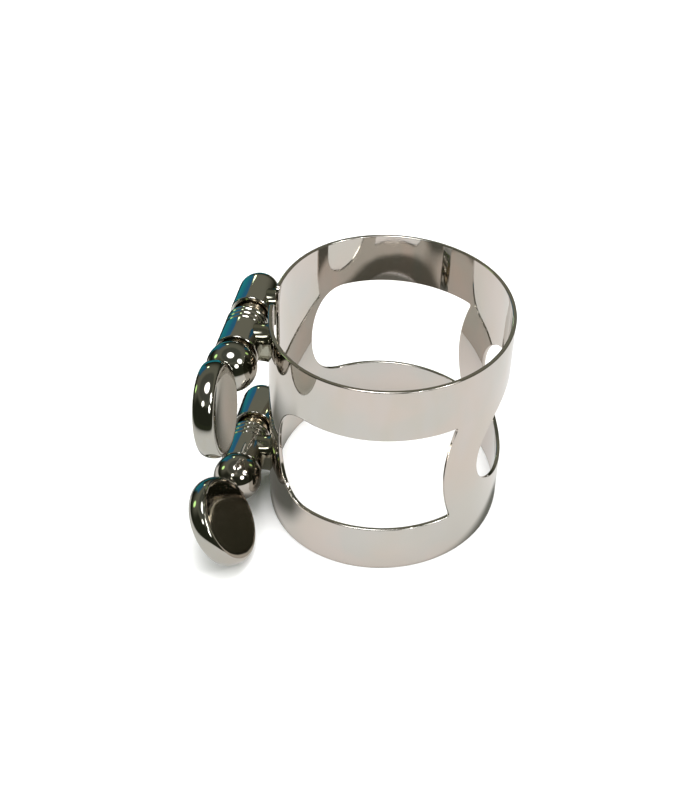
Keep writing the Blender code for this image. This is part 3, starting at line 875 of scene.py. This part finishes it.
def make_floor():
    half_size, drop = 1.2, 0.00002       # metres
    mesh = bpy.data.meshes.new("pale_floor")
    bm = bmesh.new()
    bmesh.ops.create_grid(bm, x_segments=8, y_segments=8, size=half_size)
    bm.to_mesh(mesh)
    bm.free()
    obj = bpy.data.objects.new("pale_floor", mesh)
    obj.location = (BORE_X * MM, BORE_Y * MM, FLOOR_M - drop)
    bpy.context.scene.collection.objects.link(obj)
    mesh.materials.append(floor_material())


make_floor()


# ---------------------------------------------------------------- world and lights
# Directions from the ligature to the three main lights, shared by the world and the lamps.
OVERHEAD, RIGHT, FRONT = (-0.04, -0.05, 1.0), (0.665, -0.23, 0.71), (0.54, -0.64, 0.55)

# Bright spots seen in the world: direction, half angle in degrees, power, tone.
SPOTS = (
    (OVERHEAD, 11.0, 8.0, (1.0, 1.0, 1.0)),
    (RIGHT, 8.5, 8.0, (1.0, 1.0, 0.98)),
    (FRONT, 7.0, 7.0, (1.0, 1.0, 1.0)),
    ((-0.24, -0.64, 0.73), 5.0, 7.0, (1.0, 1.0, 0.96)),
    ((-0.89, 0.165, 0.43), 6.0, 2.2, (0.62, 1.0, 0.36)),
    ((-0.35, 0.85, 0.42), 2.0, 7.0, (0.8, 1.0, 0.6)),
)

# Lamps: name, direction, distance and diameter in metres, power in watts.
LAMPS = (
    ("key_overhead", OVERHEAD, 0.45, 0.100, 0.28),
    ("key_right", RIGHT, 0.50, 0.045, 0.22),
    ("key_front", FRONT, 0.50, 0.030, 0.10),
)


def make_world():
    world = bpy.data.worlds.new("studio")
    bpy.context.scene.world = world
    n = Nodes(world)
    out = n.new("ShaderNodeOutputWorld")
    background = n.new("ShaderNodeBackground")
    n.put(out.inputs[0], background.outputs[0])
    normalize = n.new("ShaderNodeVectorMath", operation="NORMALIZE")
    n.put(normalize.inputs[0], n.new("ShaderNodeTexCoord").outputs["Generated"])
    direction = normalize.outputs[0]
    x, y, z = n.separate(direction)

    # Dim room, greyer higher up and dark towards the camera's side.
    colour = n.mix(n.ramp(z, over=(0.05, 0.55)), (0.016, 0.019, 0.010), (0.19, 0.19, 0.15))
    front = n.product(n.ramp(y, over=(0.05, -0.45)), n.ramp(z, over=(0.80, 0.60)))
    colour = n.mix(front, colour, (0.030, 0.033, 0.022))

    # Teal patch on the far side, to the left.
    left = n.product(n.ramp(x, over=(-0.405, -0.440)),
                     n.product(n.ramp(y, over=(0.50, 0.60)), n.ramp(z, over=(0.50, 0.44))),
                     n.product(n.ramp(x, over=(-0.76, -0.68)), n.ramp(y, over=(0.90, 0.84))))
    teal = n.mix(n.ramp(z, over=(0.02, 0.36)), (0.020, 0.24, 0.29), (0.030, 0.16, 0.30))
    colour = n.mix(left, colour, teal)

    # Mirrors see a dim ceiling; everything else sees it as one soft light.
    top = n.ramp(z, over=(0.70, 0.84))
    path = n.new("ShaderNodeLightPath")
    glossy = path.outputs["Is Glossy Ray"]
    colour = n.mix(n.product(top, glossy), colour, (0.10, 0.105, 0.085))
    matt = n.math("SUBTRACT", 1.0, glossy)
    colour = n.mix(n.product(top, matt), colour, (2.75, 2.75, 2.75))

    outer_share, inner_share = 1.45, 0.55        # soft edge of a spot, shares of its half angle
    for spot_direction, half, power, tone in SPOTS:
        facing = n.dot(direction, Vector(spot_direction).normalized())
        spot = n.ramp(facing, over=(cos(radians(half * outer_share)),
                                    cos(radians(half * inner_share))))
        colour = n.mix(spot, colour, tuple(power * channel for channel in tone))

    # The camera itself sees white.
    colour = n.mix(path.outputs["Is Camera Ray"], colour, (1.0, 1.0, 1.0))
    n.put(background.inputs["Color"], colour)
    background.inputs["Strength"].default_value = 1.0


def make_lamp(name, direction, distance, size, power):
    """Disk lamp aimed at the middle of the band."""
    light = bpy.data.lights.new(name, "AREA")
    light.shape = "DISK"
    light.size = size
    light.energy = power
    obj = bpy.data.objects.new(name, light)
    bpy.context.scene.collection.objects.link(obj)
    away = Vector(direction).normalized()
    obj.location = Vector((BORE_X * MM, BORE_Y * MM, MID_HEIGHT_M)) + away * distance
    obj.rotation_euler = away.to_track_quat("Z", "Y").to_euler()


make_world()
for lamp in LAMPS:
    make_lamp(*lamp)


# ---------------------------------------------------------------- camera
def make_camera():
    """Camera on the near side, above, looking down at the band."""
    camera = bpy.data.cameras.new("camera")
    camera.sensor_fit = "VERTICAL"
    camera.sensor_height = 36.0
    camera.sensor_width = 36.0
    camera.lens = 51.114
    camera.clip_start = 0.001
    camera.clip_end = 10.0
    obj = bpy.data.objects.new("camera", camera)
    bpy.context.scene.collection.objects.link(obj)
    right = (0.98921, 0.14424, 0.02583)
    up = (-0.10965, 0.61174, 0.78343)
    back = (0.09720, -0.77780, 0.62095)
    place = ((8.347 + BORE_X) * MM, (-99.563 + BORE_Y) * MM, 90.147 * MM)
    rows = [list(row) for row in zip(right, up, back, place)]
    obj.matrix_world = Matrix(rows + [[0, 0, 0, 1]])
    bpy.context.scene.camera = obj


make_camera()
bpy.context.scene.view_settings.view_transform = "Standard"
